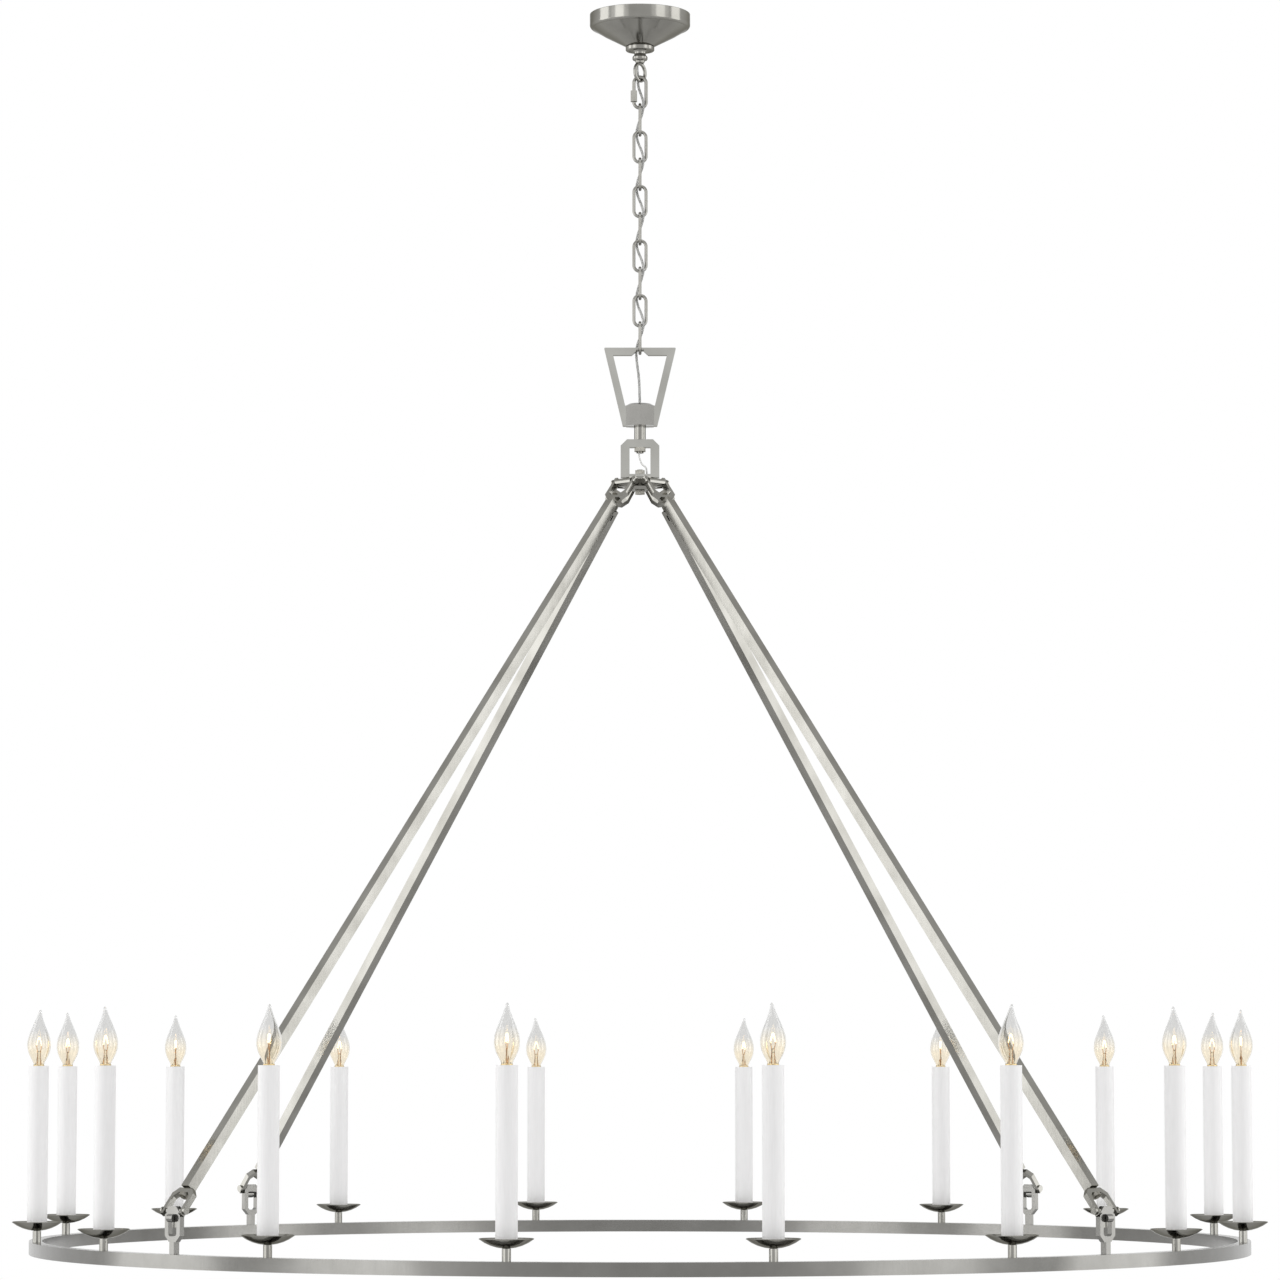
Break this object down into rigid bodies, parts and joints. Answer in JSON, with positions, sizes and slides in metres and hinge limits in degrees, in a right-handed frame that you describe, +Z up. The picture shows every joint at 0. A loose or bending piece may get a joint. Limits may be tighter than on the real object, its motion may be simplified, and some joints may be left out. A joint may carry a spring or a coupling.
{
  "type": "ring chandelier",
  "caption": "Candle-style ring chandelier: a square-section ring of flame-bulb candles on straight rods from a small hub, hung by a welded chain from a round ceiling canopy",
  "frame": {"origin": "on the ceiling plane at the axis of the canopy, where the bracket meets the ceiling box", "axes": "+Z up towards the ceiling, +X to the right and -Y towards the viewer of the picture; the candle ring hangs below at negative Z"},
  "size_m": [1.5214, 1.5214, 1.5599],
  "materials": {
    "nickel": "polished nickel plate",
    "plated_steel": "zinc-plated steel",
    "socket": "matte phenolic",
    "sleeve": "satin white",
    "clear_cord": "clear jacket over silver strands",
    "wire": "insulated wire",
    "bulb": "clear glass"
  },
  "bodies": {
    "ceiling_mount": {"ceiling_bracket": "plated_steel", "canopy_nipple": "plated_steel", "nipple_lock_nut": "plated_steel", "canopy_loop": "nickel", "supply_cord": "clear_cord"},
    "canopy_cover": {"canopy": "nickel", "collar_nut": "nickel"},
    "quick_link_body": {"quick_link": "nickel"},
    "quick_link_sleeve": {"quick_link_nut": "nickel"},
    "link_1": {"chain_link_1": "nickel"},
    "link_2": {"chain_link_2": "nickel"},
    "link_3": {"chain_link_3": "nickel"},
    "link_4": {"chain_link_4": "nickel"},
    "link_5": {"chain_link_5": "nickel"},
    "link_6": {"chain_link_6": "nickel"},
    "link_7": {"chain_link_7": "nickel"},
    "link_8": {"chain_link_8": "nickel"},
    "link_9": {"chain_link_9": "nickel"},
    "fixture": {"hanger_frame": "nickel", "hex_coupling": "nickel", "stem_tube": "nickel", "stem_pipe": "plated_steel", "stem_nut": "plated_steel", "stirrup": "nickel", "hub_block": "nickel", "hub_bolt": "plated_steel", "upper_yokes": "nickel", "hub_pins": "nickel", "upper_studs": "plated_steel", "rod_1": "nickel", "rod_2": "nickel", "rod_3": "nickel", "rod_4": "nickel", "lower_studs": "plated_steel", "lower_yokes": "nickel", "ring_pins": "nickel", "ring_loops": "nickel", "ring": "nickel", "candle_stems": "nickel", "drip_pans": "nickel", "lamp_sockets": "socket", "candle_sleeves": "sleeve", "lead_wires": "wire", "ring_wires": "wire"},
    "bulb_01_body": {"bulb_01": "bulb"},
    "bulb_02_body": {"bulb_02": "bulb"},
    "bulb_03_body": {"bulb_03": "bulb"},
    "bulb_04_body": {"bulb_04": "bulb"},
    "bulb_05_body": {"bulb_05": "bulb"},
    "bulb_06_body": {"bulb_06": "bulb"},
    "bulb_07_body": {"bulb_07": "bulb"},
    "bulb_08_body": {"bulb_08": "bulb"},
    "bulb_09_body": {"bulb_09": "bulb"},
    "bulb_10_body": {"bulb_10": "bulb"},
    "bulb_11_body": {"bulb_11": "bulb"},
    "bulb_12_body": {"bulb_12": "bulb"},
    "bulb_13_body": {"bulb_13": "bulb"},
    "bulb_14_body": {"bulb_14": "bulb"},
    "bulb_15_body": {"bulb_15": "bulb"},
    "bulb_16_body": {"bulb_16": "bulb"}
  },
  "joints": [
    {"name": "canopy_drop", "type": "slide", "parent": "ceiling_mount", "child": "canopy_cover", "axis": [0, 0, 1], "range_m": [-0.06, 0]},
    {"name": "quick_link_swing", "type": "hinge", "parent": "ceiling_mount", "child": "quick_link_body", "pos_m": [0, 0, -0.08525], "axis": [0.5736, 0.8192, 0], "range_deg": [-8, 8], "deforming": ["supply_cord"]},
    {"name": "quick_link_nut_slide", "type": "slide", "parent": "quick_link_body", "child": "quick_link_sleeve", "axis": [0, 0, 1], "range_m": [0, 0.009]},
    {"name": "link_1_turn", "type": "hinge", "parent": "quick_link_body", "child": "link_1", "pos_m": [0, 0, -0.12045], "axis": [0, 0, 1], "range_deg": [-8, 8]},
    {"name": "link_2_turn", "type": "hinge", "parent": "quick_link_body", "child": "link_2", "pos_m": [0, 0, -0.15525], "axis": [0, 0, 1], "range_deg": [-8, 8]},
    {"name": "link_3_turn", "type": "hinge", "parent": "quick_link_body", "child": "link_3", "pos_m": [0, 0, -0.1902], "axis": [0, 0, 1], "range_deg": [-8, 8]},
    {"name": "link_4_turn", "type": "hinge", "parent": "quick_link_body", "child": "link_4", "pos_m": [0, 0, -0.22515], "axis": [0, 0, 1], "range_deg": [-8, 8]},
    {"name": "link_5_turn", "type": "hinge", "parent": "quick_link_body", "child": "link_5", "pos_m": [0, 0, -0.2601], "axis": [0, 0, 1], "range_deg": [-8, 8]},
    {"name": "link_6_turn", "type": "hinge", "parent": "quick_link_body", "child": "link_6", "pos_m": [0, 0, -0.29505], "axis": [0, 0, 1], "range_deg": [-8, 8]},
    {"name": "link_7_turn", "type": "hinge", "parent": "quick_link_body", "child": "link_7", "pos_m": [0, 0, -0.33], "axis": [0, 0, 1], "range_deg": [-8, 8]},
    {"name": "link_8_turn", "type": "hinge", "parent": "quick_link_body", "child": "link_8", "pos_m": [0, 0, -0.36495], "axis": [0, 0, 1], "range_deg": [-8, 8]},
    {"name": "link_9_turn", "type": "hinge", "parent": "quick_link_body", "child": "link_9", "pos_m": [0, 0, -0.3999], "axis": [0, 0, 1], "range_deg": [-8, 8], "deforming": ["supply_cord"]},
    {"name": "fixture_swing", "type": "hinge", "parent": "link_9", "child": "fixture", "pos_m": [0, 0, -0.43485], "axis": [0, 1, 0], "range_deg": [-8, 8], "deforming": ["supply_cord"]},
    {"name": "bulb_01_turn", "type": "hinge", "parent": "fixture", "child": "bulb_01_body", "pos_m": [0.7302, 0.14525, -1.331], "axis": [0, 0, 1], "continuous": true},
    {"name": "bulb_02_turn", "type": "hinge", "parent": "fixture", "child": "bulb_02_body", "pos_m": [0.61903, 0.41362, -1.331], "axis": [0, 0, 1], "continuous": true},
    {"name": "bulb_03_turn", "type": "hinge", "parent": "fixture", "child": "bulb_03_body", "pos_m": [0.41362, 0.61903, -1.331], "axis": [0, 0, 1], "continuous": true},
    {"name": "bulb_04_turn", "type": "hinge", "parent": "fixture", "child": "bulb_04_body", "pos_m": [0.14525, 0.7302, -1.331], "axis": [0, 0, 1], "continuous": true},
    {"name": "bulb_05_turn", "type": "hinge", "parent": "fixture", "child": "bulb_05_body", "pos_m": [-0.14525, 0.7302, -1.331], "axis": [0, 0, 1], "continuous": true},
    {"name": "bulb_06_turn", "type": "hinge", "parent": "fixture", "child": "bulb_06_body", "pos_m": [-0.41362, 0.61903, -1.331], "axis": [0, 0, 1], "continuous": true},
    {"name": "bulb_07_turn", "type": "hinge", "parent": "fixture", "child": "bulb_07_body", "pos_m": [-0.61903, 0.41362, -1.331], "axis": [0, 0, 1], "continuous": true},
    {"name": "bulb_08_turn", "type": "hinge", "parent": "fixture", "child": "bulb_08_body", "pos_m": [-0.7302, 0.14525, -1.331], "axis": [0, 0, 1], "continuous": true},
    {"name": "bulb_09_turn", "type": "hinge", "parent": "fixture", "child": "bulb_09_body", "pos_m": [-0.7302, -0.14525, -1.331], "axis": [0, 0, 1], "continuous": true},
    {"name": "bulb_10_turn", "type": "hinge", "parent": "fixture", "child": "bulb_10_body", "pos_m": [-0.61903, -0.41362, -1.331], "axis": [0, 0, 1], "continuous": true},
    {"name": "bulb_11_turn", "type": "hinge", "parent": "fixture", "child": "bulb_11_body", "pos_m": [-0.41362, -0.61903, -1.331], "axis": [0, 0, 1], "continuous": true},
    {"name": "bulb_12_turn", "type": "hinge", "parent": "fixture", "child": "bulb_12_body", "pos_m": [-0.14525, -0.7302, -1.331], "axis": [0, 0, 1], "continuous": true},
    {"name": "bulb_13_turn", "type": "hinge", "parent": "fixture", "child": "bulb_13_body", "pos_m": [0.14525, -0.7302, -1.331], "axis": [0, 0, 1], "continuous": true},
    {"name": "bulb_14_turn", "type": "hinge", "parent": "fixture", "child": "bulb_14_body", "pos_m": [0.41362, -0.61903, -1.331], "axis": [0, 0, 1], "continuous": true},
    {"name": "bulb_15_turn", "type": "hinge", "parent": "fixture", "child": "bulb_15_body", "pos_m": [0.61903, -0.41362, -1.331], "axis": [0, 0, 1], "continuous": true},
    {"name": "bulb_16_turn", "type": "hinge", "parent": "fixture", "child": "bulb_16_body", "pos_m": [0.7302, -0.14525, -1.331], "axis": [0, 0, 1], "continuous": true}
  ]
}
